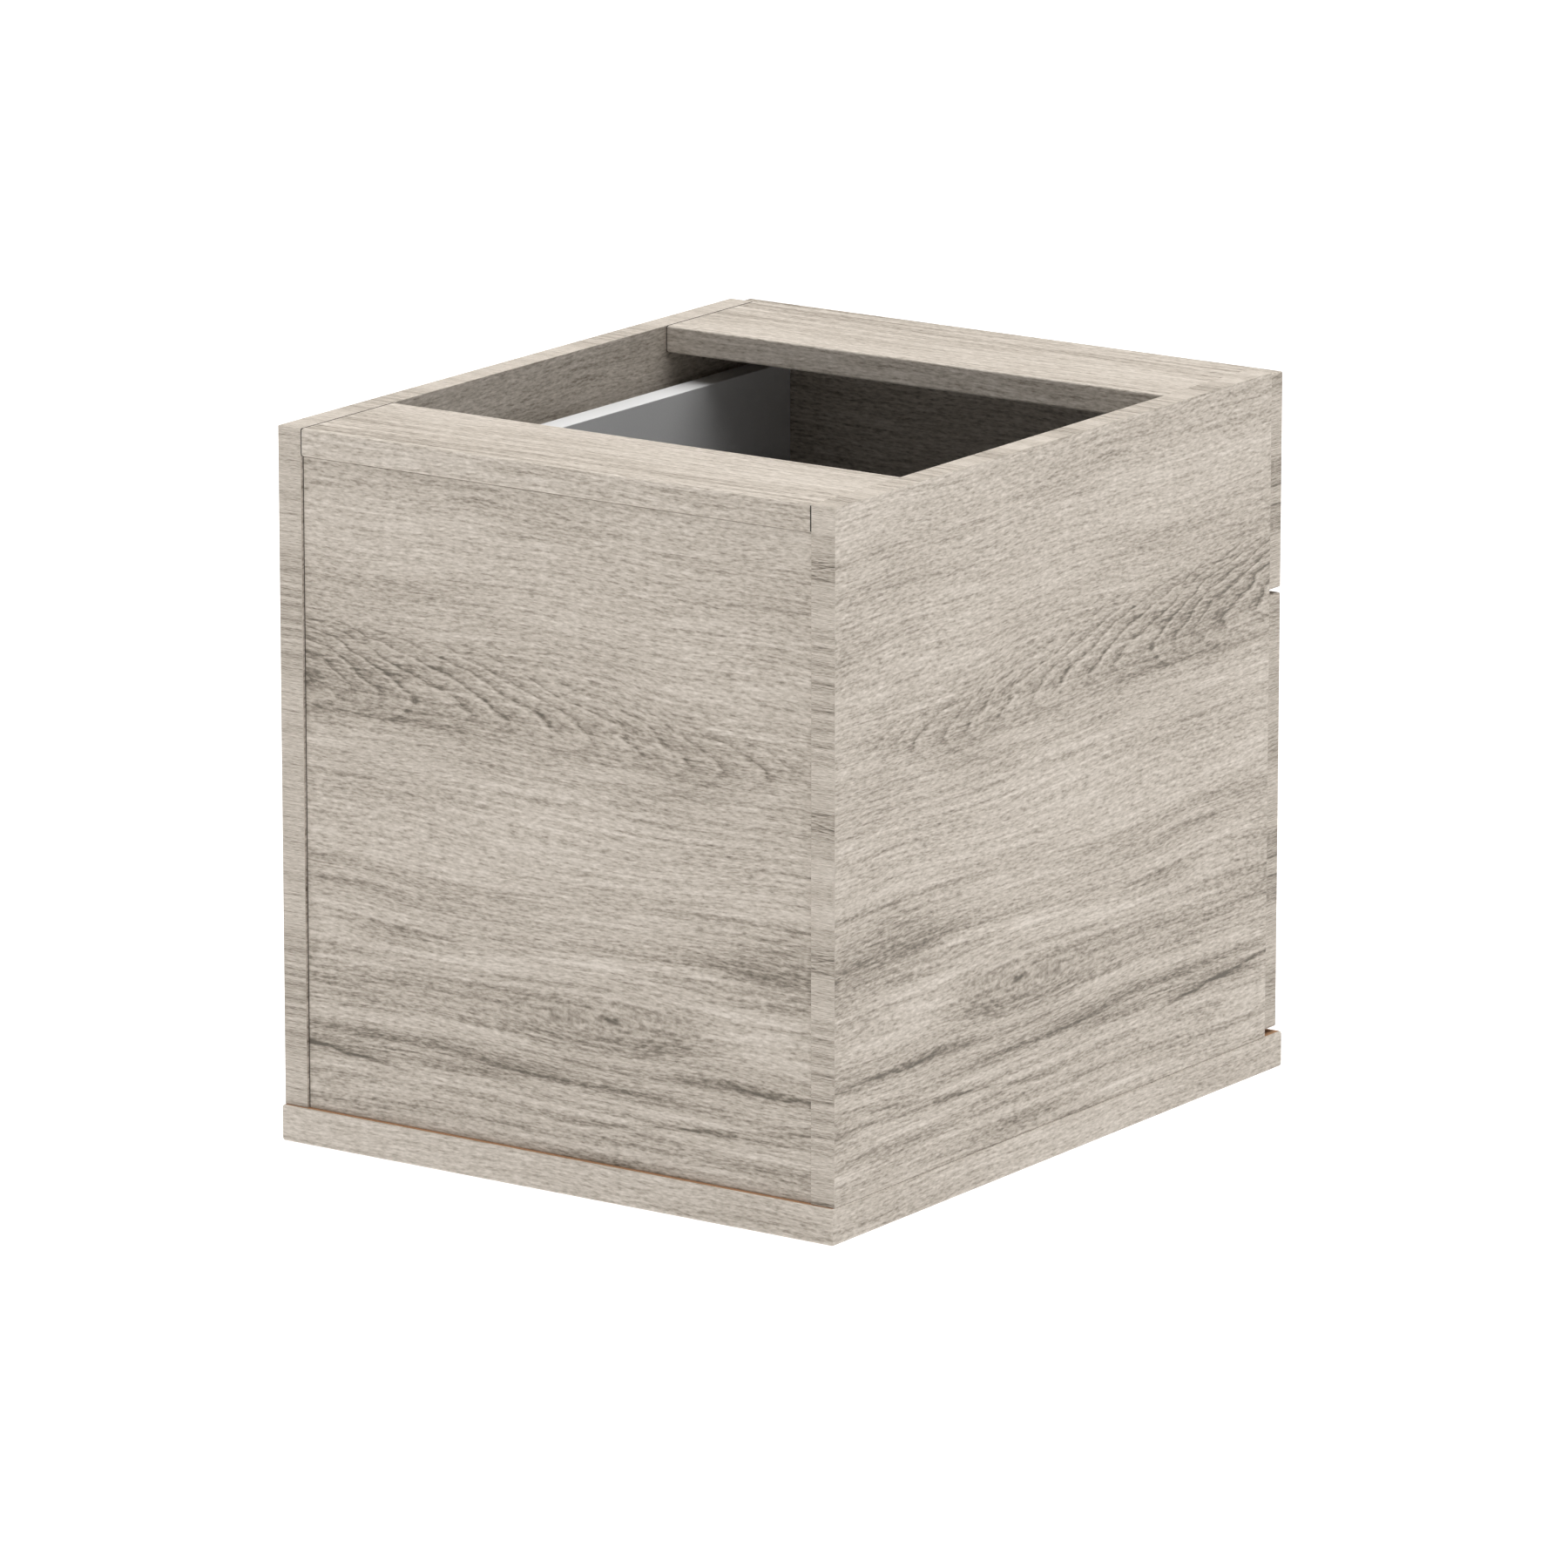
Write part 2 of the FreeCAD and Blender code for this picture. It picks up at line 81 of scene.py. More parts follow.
# Layers of the print: their size along and across the grain, seed, detail and roughness.
WANDER = (210.0, 90.0, 1.7, 1.0, 0.5)
BROAD = (260.0, 38.0, 0.4, 3.0, 0.55)
STREAKS = (190.0, 5.5, 4.2, 3.0, 0.6)
LINES = (60.0, 1.9, 8.6, 2.0, 0.55)
FIBRES = (3.8, 1.10, 2.3, 2.0, 0.6)
FLECKS = (8.0, 1.9, 6.9, 1.0, 0.5)
LOW_STREAKS = (230.0, 11.0, 15.3, 2.0, 0.5)
ARCH_JITTER = (34.0, 12.0, 3.1, 2.0, 0.5)
ARCH_WAVES = (95.0, 45.0, 7.7, 2.0, 0.5)
ARCH_PATCHES = (48.0, 15.0, 12.4, 2.0, 0.5)
ARCH_BREAKS = (9.0, 2.6, 9.3, 2.0, 0.5)
MARK_BREAKS = (26.0, 2.0, 31.0, 2.0, 0.5)
SWIRL_JITTER = (22.0, 7.0, 18.0, 2.0, 0.5)
WEAR_PATCHES = (14.0, 14.0, 20.0, 2.0, 0.5)

# How strongly each layer shows in the print's tone and in its relief.
BROAD_GAIN, STREAK_GAIN, LINE_GAIN, FIBRE_GAIN, FLECK_GAIN = 0.65, 1.30, 0.80, 1.10, 0.90
ARCH_GAIN, KNOT_GAIN, LOW_STREAK_GAIN, MARK_GAIN = 1.25, 1.05, 0.42, 0.85
TONE_SHIFT = 0.05
FIBRE_RELIEF, FLECK_RELIEF, LINE_RELIEF, ARCH_RELIEF = 0.6, 0.5, 0.35, 0.25

# How the grain strays, and how its streaks change across the print.
WANDER_WIDTH = 11.0
ARCH_WANDER = 0.4                   # share of it that the arches and the single streaks follow
STREAKS_AT_TOP = 0.30
STREAKS_GROW = ((150.0, 250.0, 0.32), (255.0, 330.0, 0.22))     # from, to, by how much
LOW_STREAKS_ACROSS = (245.0, 350.0)
LOW_STREAKS_SHOW = (0.05, 0.42)     # the values of their noise where they start and are full

# Nested arches. Their lines fall back from an axis and are dark in front of a sharp edge.
ARCH_ACROSS, ARCH_DRIFT = 146.0, 0.038                          # the axis
ARCH_SPACING, FINE_ARCH_SPACING = 33.0, 12.5
ARCH_TIP = 4.0                                                  # square of the radius at a tip
ARCH_FALL_ABOVE, ARCH_FALL_BELOW, ARCH_CURVE = 1.25, 1.1, 0.048
ARCH_ABOVE = (-3.0, 3.0)                                        # round the axis, where the sides blend
ARCH_RAGGED, FINE_ARCH_RAGGED = 0.50, 2.3
ARCH_FADE, ARCH_DEPTH = 5.0, 1.05                               # a line's dark side
ARCH_LEAD, ARCH_LEAD_END, ARCH_LEAD_DEPTH = 12.0, 11.5, 0.35    # the other side of its edge
ARCH_LIT_PLACE, ARCH_LIT_WIDTH, ARCH_LIT = 0.84, 0.08, 0.40     # the pale band before the next line
FINE_ARCH_FADE, FINE_ARCH_DEPTH = 4.0, 0.24
ARCH_BAND_ABOVE = (62.0, 24.0)                                  # above the axis, where the band is 0 and 1
ARCH_BAND_NARROWS = (0.07, 0.03)                                # how much nearer those get along the grain
ARCH_BAND_BELOW = (4.0, 24.0)                                   # below the axis, where it is 1 and 0
ARCH_WEAKENS = ((90.0, 260.0, 0.30), (330.0, 470.0, 0.40))      # along the grain: from, to, by how much
ARCH_BELOW, ARCH_BAND_TONE = 0.42, 0.07                         # lines below the axis; the band itself

# Places on the print: along, across, half length, half height. The last three are shares of a knot.
DARK_EYE, DARK_EYE_DEPTH = (40.0, -13.0, 60.0, 16.0), 0.32      # across from the arches' axis
KNOT_CORE = (0.0, 0.0, 0.13, 0.15)
KNOT_SMEAR, KNOT_SMEAR_DEPTH = (0.30, 0.2, 0.75, 0.7), 0.40
KNOT_SWIRL = (0.25, 0.0, 0.9, 0.95)
SWIRL_TURNS, SWIRL_RAGGED, SWIRL_FADE = 3.4, 0.45, 4.5
KNOT_RAGGED, KNOT_RAGGED_ALONG, KNOT_RAGGED_ACROSS = 1.2, 14.0, 2.0

# Knots: along, across, half length, half height, how much the grain bends, core's depth, swirl's depth.
KNOTS = (
    (238.0, 334.0, 75.0, 22.0, 0.55, 0.72, 0.36), (199.0, 338.5, 20.0, 7.0, 0.4, 0.50, 0.0),
    (335.0, 362.0, 70.0, 9.0, 0.35, 0.35, 0.0))

# Single dark streaks: start, end, place across, slant, half width, depth.
MARKS = (
    (-90.0, 120.0, 369.0, 0.025, 3.6, 0.55), (-90.0, 66.0, 375.0, 0.11, 1.5, 1.55),
    (60.0, 290.0, 376.0, 0.02, 2.0, 0.15), (292.0, 470.0, 362.5, 0.01, 4.4, 0.85),
    (205.0, 400.0, 407.0, -0.115, 1.8, 0.80), (-90.0, 60.0, 340.0, 0.03, 2.2, 0.40),
    (290.0, 470.0, 257.0, 0.0, 2.4, 0.60), (335.0, 470.0, 290.0, 0.0, 8.0, 0.45),
    (10.0, 150.0, 273.0, 0.01, 1.8, 0.45), (160.0, 290.0, 200.0, 0.0, 1.8, 0.45),
    (255.0, 305.0, 90.0, 0.10, 1.6, 0.45), (60.0, 330.0, 212.0, -0.01, 1.4, 0.30),
    (-90.0, 110.0, 166.0, -0.03, 2.4, 0.35))
MARK_STARTS, MARK_ENDS = (-25.0, 25.0), (-30.0, 40.0)           # round a mark's start and its end
MARK_RAGGED, MARK_LEVEL = 1.3, 0.9

# Paler (above 0) and darker (below 0) places: along, across, half length, half height, gain.
PATCHES = (
    (310.0, 236.0, 190.0, 22.0, 0.42), (230.0, 302.0, 40.0, 9.0, 0.50), (350.0, 333.0, 34.0, 11.0, 0.55),
    (300.0, 373.0, 60.0, 3.5, 0.45), (350.0, 377.0, 45.0, 4.0, 0.45), (120.0, 168.0, 150.0, 15.0, -0.18),
    (60.0, 226.0, 70.0, 14.0, -0.16), (330.0, 262.0, 120.0, 24.0, -0.22), (385.0, 275.0, 50.0, 28.0, -0.20),
    (0.0, 384.0, 60.0, 12.0, -0.34), (290.0, 382.0, 110.0, 12.0, -0.26), (60.0, 373.0, 190.0, 5.5, -0.26),
    (210.0, 379.0, 120.0, 4.5, -0.14), (225.0, 334.0, 50.0, 14.0, 0.12), (260.0, 434.0, 110.0, 9.0, -0.32),
    (120.0, 342.0, 90.0, 12.0, -0.14), (170.0, 412.0, 120.0, 10.0, -0.14), (360.0, 128.0, 80.0, 18.0, -0.22),
    (70.0, 138.0, 110.0, 16.0, 0.18))

# Finish of the laminate, and what sets some boards apart.
EDGE_PRINT_ALONG = 1.1              # how much smaller along the grain the edging's print is than a face's
EDGE_PRINT_ACROSS = 3.2             # and how much smaller across it
RAIL_PRINT_ACROSS = 1.5
EDGE_PRINT_REPEAT = 400.0
# Painted shade in the seams: a dark line just inside a board's edge, where shade falls in the gap beside the
# next board or under the rail above. Its width in millimetres, how much wider it is on faces that look up,
# and how far it fades in.
SEAM_SHADOW_WIDTH = 1.0
SEAM_SHADOW_WIDER_ON_TOP = 0.5
SEAM_SHADOW_FADE = 0.4
SEAM_SHADOW_DULLS = 0.3                   # how much rougher the painted seam shade is
UPWARD = (0.3, 0.7)                 # a normal's upward part where a face starts to count as a top
FRONT_LIFT = -0.07                  # the drawer fronts' print is a little darker
BASE_LIFT = 0.06                    # and the base slab's a little paler: partly its print, and partly painted light that stands in for the light the floor throws on it
OAK_ROUGHNESS, OAK_SPECULAR, OAK_BUMP = 0.56, 0.35, (0.30, 0.25)
OAK_CORNERS = (0.80, 0.985)         # a normal's largest part where rounding is full and where it ends
OAK_WEAR, OAK_WEAR_SHOWS, OAK_WEAR_LEVEL = 0.30, (0.2, 1.1), 0.55
RELIEF_DULLS, WEAR_SHINES = 0.05, 0.08
RAW_TOP_DEPTH, RAW_TOP_FLAT, RAW_TOP_DULLS = 0.2, 0.98, 0.3
GRIT_SIZE, GRIT_SEED = 1.6, 5.0

RAW_BOARD = (0.42, 0.235, 0.125, 1.0)
RAW_BOARD_DARK = (0.26, 0.14, 0.075, 1.0)
# the colour of the painted shade in the seams
SEAM_SHADOW_COLOUR = (0.035, 0.030, 0.026, 1.0)
WHITE_BOARD = (0.66, 0.66, 0.655, 1.0)
WHITE_BOARD_DULL = (0.60, 0.60, 0.60, 1.0)
GREY_BOARD = (0.135, 0.135, 0.14, 1.0)
GREY_BOARD_DULL = (0.10, 0.10, 0.105, 1.0)
MELAMINE_ROUGHNESS, MELAMINE_SPECULAR, MELAMINE_BUMP = 0.42, 0.4, (0.30, 0.12)
MELAMINE_CORNERS = (0.85, 0.99)
PEEL_SIZE, CLOUD_SIZE = 1.1, 70.0
BEECH_PALE = (0.66, 0.45, 0.26, 1.0)
BEECH_DARK = (0.48, 0.29, 0.15, 1.0)
BEECH_ROUGHNESS, BEECH_BUMP = 0.62, (0.4, 0.15)
BEECH_RING, BEECH_FLECK_WIDTH, BEECH_FLECK_LENGTH = 1.4, 0.5, 4.0
METAL_CORNERS, METAL_BUMP = (0.75, 0.99), (0.20, 0.05)

# Metals: material name, pale and dark colour, roughness, size of the brushing by axis, size of the clouds.
METALS = {
    "runner": ("runner_zinc", (0.63, 0.65, 0.67, 1), (0.49, 0.51, 0.53, 1), 0.34, (0.6, 26.0, 0.6), 22.0),
    "cage": ("cage_galvanised", (0.55, 0.55, 0.55, 1), (0.36, 0.36, 0.37, 1), 0.40, (0.5, 12.0, 0.5), 6.0),
    "zinc": ("bright_zinc", (0.74, 0.74, 0.73, 1), (0.50, 0.50, 0.50, 1), 0.28, (0.8, 0.8, 0.8), 5.0),
    "handle": ("satin_steel", (0.50, 0.49, 0.48, 1), (0.36, 0.355, 0.345, 1), 0.34, (24.0, 0.35, 0.35),
               40.0),
}

# Where the faces of a board lie on the print. There is a rule each for faces that look along X, Y and Z:
# the axis that u follows with its scale and start, and the same for v.
X, Y, Z = 0, 1, 2
SIDE_EDGE = ((X, EDGE_PRINT_ALONG, 300.0), (Z, -EDGE_PRINT_ACROSS, 1520.0))
SIDE_TOP = ((X, EDGE_PRINT_ALONG, 300.0), (Y, -EDGE_PRINT_ACROSS, 900.0))
FRONT_END = ((Y, EDGE_PRINT_ALONG, 480.0), (Z, -EDGE_PRINT_ACROSS, 1640.0))
PLANS = {
    "back": (((Y, 1.0, 0.0), (Z, -1.0, 453.0)),
             ((X, -1.0, 197.0), (Z, -1.0, 453.0)),
             ((X, -1.0, 197.0), (Y, -1.0, 260.0))),
    "side": (((Y, 1.0, 187.5), (Z, -1.0, 462.7)), SIDE_EDGE, SIDE_TOP),
    "rail": (((Y, 1.0, 0.0), (Z, -1.0, 471.0)),
             ((X, -1.0, 197.0), (Z, -1.0, 495.0)),
             ((X, -1.0, 700.0), (Y, -RAIL_PRINT_ACROSS, 814.0))),
    "front": (FRONT_END,
              ((X, 1.0, 205.0), (Z, -1.0, 470.0)),
              ((X, 1.0, 205.0), (Y, -1.0, 0.0))),
    "base": (((Y, 1.0, 262.0), (Z, -1.0, 90.0)),
             ((X, -1.0, 216.0), (Z, -1.0, 60.0)),
             ((X, -1.0, 216.0), (Y, -1.0, 258.5))),
}


# ---------------------------------------------------------------------------------------- fields

class Field:
    """A number that varies over a surface: plain arithmetic on it makes Math nodes."""

    def __init__(self, tree, socket):
        self.tree = tree
        self.socket = socket

    def math(self, operation, *values):
        node = self.tree.nodes.new("ShaderNodeMath")
        node.operation = operation
        for slot, value in zip(node.inputs, values):
            plug(self.tree, slot, value)
        return Field(self.tree, node.outputs[0])

    def __add__(self, other):
        return self.math("ADD", self, other)

    __radd__ = __add__

    def __sub__(self, other):
        return self.math("SUBTRACT", self, other)

    def __rsub__(self, other):
        return self.math("SUBTRACT", other, self)

    def __mul__(self, other):
        return self.math("MULTIPLY", self, other)

    __rmul__ = __mul__

    def __truediv__(self, other):
        return self.math("DIVIDE", self, other)

    def __abs__(self):
        return self.math("ABSOLUTE", self)

    def __neg__(self):
        return self.math("MULTIPLY", self, -1.0)

    def root(self):
        return self.math("SQRT", self)

    def exp(self):
        return self.math("EXPONENT", self)

    def fraction(self):
        return self.math("FRACT", self)

    def folded(self, length):
        return self.math("PINGPONG", self, length)

    def above(self, other):
        return self.math("GREATER_THAN", self, other)

    def larger(self, other):
        return self.math("MAXIMUM", self, other)

    def smooth(self, start, end):
        """0 before start, 1 past end, and a smooth step between them."""
        node = self.tree.nodes.new("ShaderNodeMapRange")
        node.interpolation_type = "SMOOTHSTEP"
        for slot, value in zip(node.inputs, (self, start, end, 0.0, 1.0)):
            plug(self.tree, slot, value)
        return Field(self.tree, node.outputs[0])


def plug(tree, slot, value):
    """Links a field, a colour or a vector to an input, or sets the input to a plain number."""
    if isinstance(value, Field):
        tree.links.new(value.socket, slot)
    elif isinstance(value, bpy.types.NodeSocket):
        tree.links.new(value, slot)
    else:
        slot.default_value = value


def choose(mask, chosen, other):
    """chosen where mask is 1, other where it is 0."""
    return other + (chosen - other) * mask


def hump(*offsets):
    """A bell over the given offsets, each already divided by its half width."""
    total = offsets[0] * offsets[0]
    for offset in offsets[1:]:
        total = total + offset * offset
    return (-total).exp()


def noise(x, y, z, detail=2.0, roughness=0.5):
    """Smooth noise from about -1 to 1 whose cells are one unit of x, y and z."""
    tree = x.tree
    vector = tree.nodes.new("ShaderNodeCombineXYZ")
    for slot, value in zip(vector.inputs, (x, y, z)):
        plug(tree, slot, value)
    node = tree.nodes.new("ShaderNodeTexNoise")
    node.inputs["Scale"].default_value = 1.0
    node.inputs["Detail"].default_value = detail
    node.inputs["Roughness"].default_value = roughness
    tree.links.new(vector.outputs[0], node.inputs["Vector"])
    return Field(tree, node.outputs["Fac"]) * 2.0 - 1.0


def grain(u, v, layer):
    """Noise of one layer of the print: its size along and across the grain, seed, detail and roughness."""
    along, across, seed, detail, roughness = layer
    return noise(u / along, v / across, seed, detail, roughness)


def ramp(value, *stops):
    """A colour from a field, by (place, colour) stops."""
    node = value.tree.nodes.new("ShaderNodeValToRGB")
    elements = node.color_ramp.elements
    while len(elements) < len(stops):
        elements.new(0.5)
    for element, (place, colour) in zip(elements, stops):
        element.position = place
        element.color = colour
    value.tree.links.new(value.socket, node.inputs["Fac"])
    return node.outputs["Color"]


def mixed(mask, colour, other):
    """colour where mask is 1, other where it is 0."""
    node = mask.tree.nodes.new("ShaderNodeMix")
    node.data_type = "RGBA"
    plug(mask.tree, node.inputs["Factor"], mask)
    plug(mask.tree, node.inputs["A"], other)
    plug(mask.tree, node.inputs["B"], colour)
    return node.outputs["Result"]


# ------------------------------------------------------------------------------------- materials

def new_material(name):
    """A material that has only a Principled shader: the material, its node tree and the shader."""
    material = bpy.data.materials.new(name)
    material.use_nodes = True
    tree = material.node_tree
    tree.nodes.clear()
    shader = tree.nodes.new("ShaderNodeBsdfPrincipled")
    output = tree.nodes.new("ShaderNodeOutputMaterial")
    tree.links.new(shader.outputs[0], output.inputs["Surface"])
    return material, tree, shader


def place_and_normal(tree):
    """The point in millimetres and the size of each part of the normal, both in the part's own frame."""
    coordinates = tree.nodes.new("ShaderNodeTexCoord")
    place = tree.nodes.new("ShaderNodeSeparateXYZ")
    tree.links.new(coordinates.outputs["Object"], place.inputs[0])
    normal = tree.nodes.new("ShaderNodeSeparateXYZ")
    tree.links.new(coordinates.outputs["Normal"], normal.inputs[0])
    points = [Field(tree, socket) * MM for socket in place.outputs]
    facing = [abs(Field(tree, socket)) for socket in normal.outputs]
    return points, facing


def bump(tree, shader, height, strength, distance):
    """Relief of the given height field, with its distance in millimetres."""
    node = tree.nodes.new("ShaderNodeBump")
    node.inputs["Strength"].default_value = strength
    node.inputs["Distance"].default_value = distance / MM
    plug(tree, node.inputs["Height"], height)
    tree.links.new(node.outputs["Normal"], shader.inputs["Normal"])


def corners(facing, start, end):
    """1 on rounded corners, from the size of each part of the normal."""
    return 1.0 - facing[0].larger(facing[1]).larger(facing[2]).smooth(start, end)


def spot(u, v, along, across, length, height):
    """A bell at a place along and across the grain, by its half length and its half height."""
    return hump((u - along) / length, (v - across) / height)


def cathedral(u, v):
    """The band of nested arches: how dark their lines are, from 0 to about 1."""
    axis = v - ARCH_ACROSS - u * ARCH_DRIFT
    side = (axis * axis + ARCH_TIP).root()
    upper = (-axis).smooth(*ARCH_ABOVE)
    reach = side * choose(upper, ARCH_FALL_ABOVE, ARCH_FALL_BELOW) + axis * axis * ARCH_CURVE
    ragged = grain(u, v, ARCH_JITTER) * ARCH_RAGGED + grain(u, v, ARCH_WAVES)

    turn = ((u + reach) / ARCH_SPACING + ragged).fraction()
    lead = (turn * ARCH_LEAD - ARCH_LEAD_END).exp() * ARCH_LEAD_DEPTH
    line = (turn * -ARCH_FADE).exp() * ARCH_DEPTH + lead
    lit = hump((turn - ARCH_LIT_PLACE) / ARCH_LIT_WIDTH) * ARCH_LIT
    fine_turn = ((u + reach) / FINE_ARCH_SPACING + ragged * FINE_ARCH_RAGGED).fraction()
    fine = (fine_turn * -FINE_ARCH_FADE).exp() * FINE_ARCH_DEPTH

    starts, full = (u * narrows - above for narrows, above in zip(ARCH_BAND_NARROWS, ARCH_BAND_ABOVE))
    band = axis.smooth(starts, full) * (1.0 - axis.smooth(*ARCH_BAND_BELOW))
    along = 1.0
    for start, end, loss in ARCH_WEAKENS:
        along = along - u.smooth(start, end) * loss
    patchy = grain(u, v, ARCH_PATCHES) * 0.85 + 0.85
    broken = grain(u, v, ARCH_BREAKS) * 0.6 + 0.90
    shown = (line - lit + fine) * band * along * patchy * broken * choose(upper, 1.0, ARCH_BELOW)
    return shown + spot(u, axis, *DARK_EYE) * DARK_EYE_DEPTH + band * ARCH_BAND_TONE


def streak(u, v, start, end, across, slant, half_width):
    """1 along a line with the grain, from start to end, that begins at across and drifts by slant."""
    offset = v - across - (u - start) * slant
    starts = u.smooth(*(start + step for step in MARK_STARTS))
    ends = u.smooth(*(end + step for step in MARK_ENDS))
    return hump(offset / half_width) * (starts * (1.0 - ends))


def marks(u, v):
    """How dark the single streaks make the print."""
    dark = sum(streak(u, v, *line) * depth for *line, depth in MARKS)
    return dark * (grain(u, v, MARK_BREAKS) * MARK_RAGGED + MARK_LEVEL)


def patches(u, v):
    """How much paler the print's broad pale and dark places make it."""
    return sum(spot(u, v, *place) * gain for *place, gain in PATCHES)


def knots(u, v):
    """Swirls round the knots: the bent grain coordinate, and how dark the knots make the print."""
    bent = v
    dark = 0.0
    for centre, down, length, height, pinch, core, swirl in KNOTS:
        along, aside = (u - centre) / length, (v - down) / height
        bent = bent - (v - down) * hump(along, aside) * pinch
        ragged = noise(u / KNOT_RAGGED_ALONG, bent / KNOT_RAGGED_ACROSS, down) * KNOT_RAGGED
        smear = spot(along, aside, *KNOT_SMEAR) * core * KNOT_SMEAR_DEPTH
        dark = (spot(along, aside, *KNOT_CORE) * core + smear) * (1.0 + ragged) + dark
        if swirl:
            jitter = grain(u, v, SWIRL_JITTER) * SWIRL_RAGGED
            turns = (along * along + aside * aside).root() * SWIRL_TURNS + jitter
            rings = (turns.fraction() * -SWIRL_FADE).exp()
            dark = rings * spot(along, aside, *KNOT_SWIRL) * swirl + dark
    return bent, dark


def oak_print(u, v):
    """The printed oak at a place along (u) and across (v) the grain: its tone and its relief."""
    wander = grain(u, v, WANDER) * WANDER_WIDTH
    bent, knot = knots(u, v)
    bent = bent + wander
    lines, fibres, flecks = (grain(u, bent, layer) for layer in (LINES, FIBRES, FLECKS))
    busy = sum(v.smooth(start, end) * more for start, end, more in STREAKS_GROW) + STREAKS_AT_TOP
    low_streaks = grain(u, bent, LOW_STREAKS).smooth(*LOW_STREAKS_SHOW) * v.smooth(*LOW_STREAKS_ACROSS)
    strayed = v + wander * ARCH_WANDER
    arches = cathedral(u, strayed)
    tone = (grain(u, bent, BROAD) * BROAD_GAIN + grain(u, bent, STREAKS) * STREAK_GAIN * busy
            + lines * LINE_GAIN + fibres * FIBRE_GAIN + flecks * FLECK_GAIN
            - arches * ARCH_GAIN - knot * KNOT_GAIN - low_streaks * LOW_STREAK_GAIN
            - marks(u, strayed) * MARK_GAIN + patches(u, v) + TONE_SHIFT)
    relief = fibres * FIBRE_RELIEF + flecks * FLECK_RELIEF + lines * LINE_RELIEF - arches * ARCH_RELIEF
    return tone, relief


def print_place(points, facing, plan):
    """Where on the oak print a point lies, by which way its face looks."""
    x_face = facing[0].above(facing[1].larger(facing[2]))
    z_face = facing[2].above(facing[1].larger(facing[0]))
    spots = []
    for rule in plan:
        (u_axis, u_scale, u_start), (v_axis, v_scale, v_start) = rule
        u = points[u_axis] * u_scale + u_start
        v = points[v_axis] * v_scale + v_start
        if abs(v_scale) > 1.0:
            v = v.folded(EDGE_PRINT_REPEAT)
        spots.append((u, v))
    return tuple(choose(z_face, spots[2][i], choose(x_face, spots[0][i], spots[1][i])) for i in (0, 1))


def oak_laminate(name, plan, raw_top=None, joints=(), lift=0.0):
    """Grey oak laminate.

    raw_top is the height in millimetres of a flat top left as bare brown board. Each seam line is painted
    shade: a dark line just inside one edge of the board, where shade falls in the gap beside the next board
    or under the rail above. Each gives the axis across it, the way it lies, its place in millimetres,
    whether faces that look up show it too, and how dark it is. lift makes the whole print paler.
    """
    material, tree, shader = new_material(name)
    points, facing = place_and_normal(tree)
    u, v = print_place(points, facing, plan)
    tone, relief = oak_print(u, v)
    colour = ramp(tone * TONE_SCALE + (TONE_MIDDLE + lift), *OAK_RAMP)
    worn = (grain(u, v, WEAR_PATCHES) + OAK_WEAR_LEVEL).smooth(*OAK_WEAR_SHOWS)
    wear = corners(facing, *OAK_CORNERS) * worn
    colour = mixed(wear * OAK_WEAR, OAK_PALE, colour)
    roughness = OAK_ROUGHNESS + relief * RELIEF_DULLS - wear * WEAR_SHINES
    if raw_top is not None:
        bare = facing[2].above(RAW_TOP_FLAT) * points[2].above(raw_top - RAW_TOP_DEPTH)
        grit = noise(points[0] / GRIT_SIZE, points[1] / GRIT_SIZE, GRIT_SEED, detail=3.0, roughness=0.7)
        colour = mixed(bare, ramp(grit * 0.5 + 0.5, (0.3, RAW_BOARD_DARK), (0.62, RAW_BOARD)), colour)
        roughness = roughness + bare * RAW_TOP_DULLS
        relief = choose(bare, grit, relief)
    # Painted shade: each seam line darkens the colour where shade falls between this board and the next
    # part.
    for axis, way, edge, on_top, depth in joints:
        upward = facing[2].smooth(*UPWARD)
        start = edge - SEAM_SHADOW_WIDTH - upward * SEAM_SHADOW_WIDER_ON_TOP
        line = (points[axis] * way).smooth(start, start + SEAM_SHADOW_FADE) * depth
        if not on_top:
            line = line * (1.0 - upward)
        colour = mixed(line, SEAM_SHADOW_COLOUR, colour)
        roughness = roughness + line * SEAM_SHADOW_DULLS
    plug(tree, shader.inputs["Base Color"], colour)
    plug(tree, shader.inputs["Roughness"], roughness)
    shader.inputs["Specular IOR Level"].default_value = OAK_SPECULAR
    bump(tree, shader, relief, *OAK_BUMP)
    return material


def melamine(name, pale, dull):
    """Plain melamine with a fine orange-peel texture."""
    material, tree, shader = new_material(name)
    points, facing = place_and_normal(tree)
    peel = noise(*(point / PEEL_SIZE for point in points))
    clouds = noise(*(point / CLOUD_SIZE for point in points), detail=3.0)
    shade = clouds * 0.6 + peel * 0.35 - corners(facing, *MELAMINE_CORNERS) * 0.5
    colour = ramp(shade * 0.5 + 0.5, (0.25, dull), (0.7, pale))
    plug(tree, shader.inputs["Base Color"], colour)
    plug(tree, shader.inputs["Roughness"], MELAMINE_ROUGHNESS + peel * 0.07 + clouds * 0.04)
    shader.inputs["Specular IOR Level"].default_value = MELAMINE_SPECULAR
    bump(tree, shader, peel, *MELAMINE_BUMP)
    return material


def beech(name):
    """Turned beech dowels, with short dark flecks along them."""
    material, tree, shader = new_material(name)
    points, _ = place_and_normal(tree)
    rings = noise(*(point / BEECH_RING for point in points), detail=3.0, roughness=0.7)
    flecks = noise(points[0] / BEECH_FLECK_WIDTH, points[1] / BEECH_FLECK_LENGTH,
                   points[2] / BEECH_FLECK_WIDTH, detail=1.0)
    colour = ramp(rings * 0.4 + flecks * 0.3 + 0.5, (0.2, BEECH_DARK), (0.7, BEECH_PALE))
    plug(tree, shader.inputs["Base Color"], colour)
    plug(tree, shader.inputs["Roughness"], BEECH_ROUGHNESS + flecks * 0.1)
    bump(tree, shader, rings, *BEECH_BUMP)
    return material


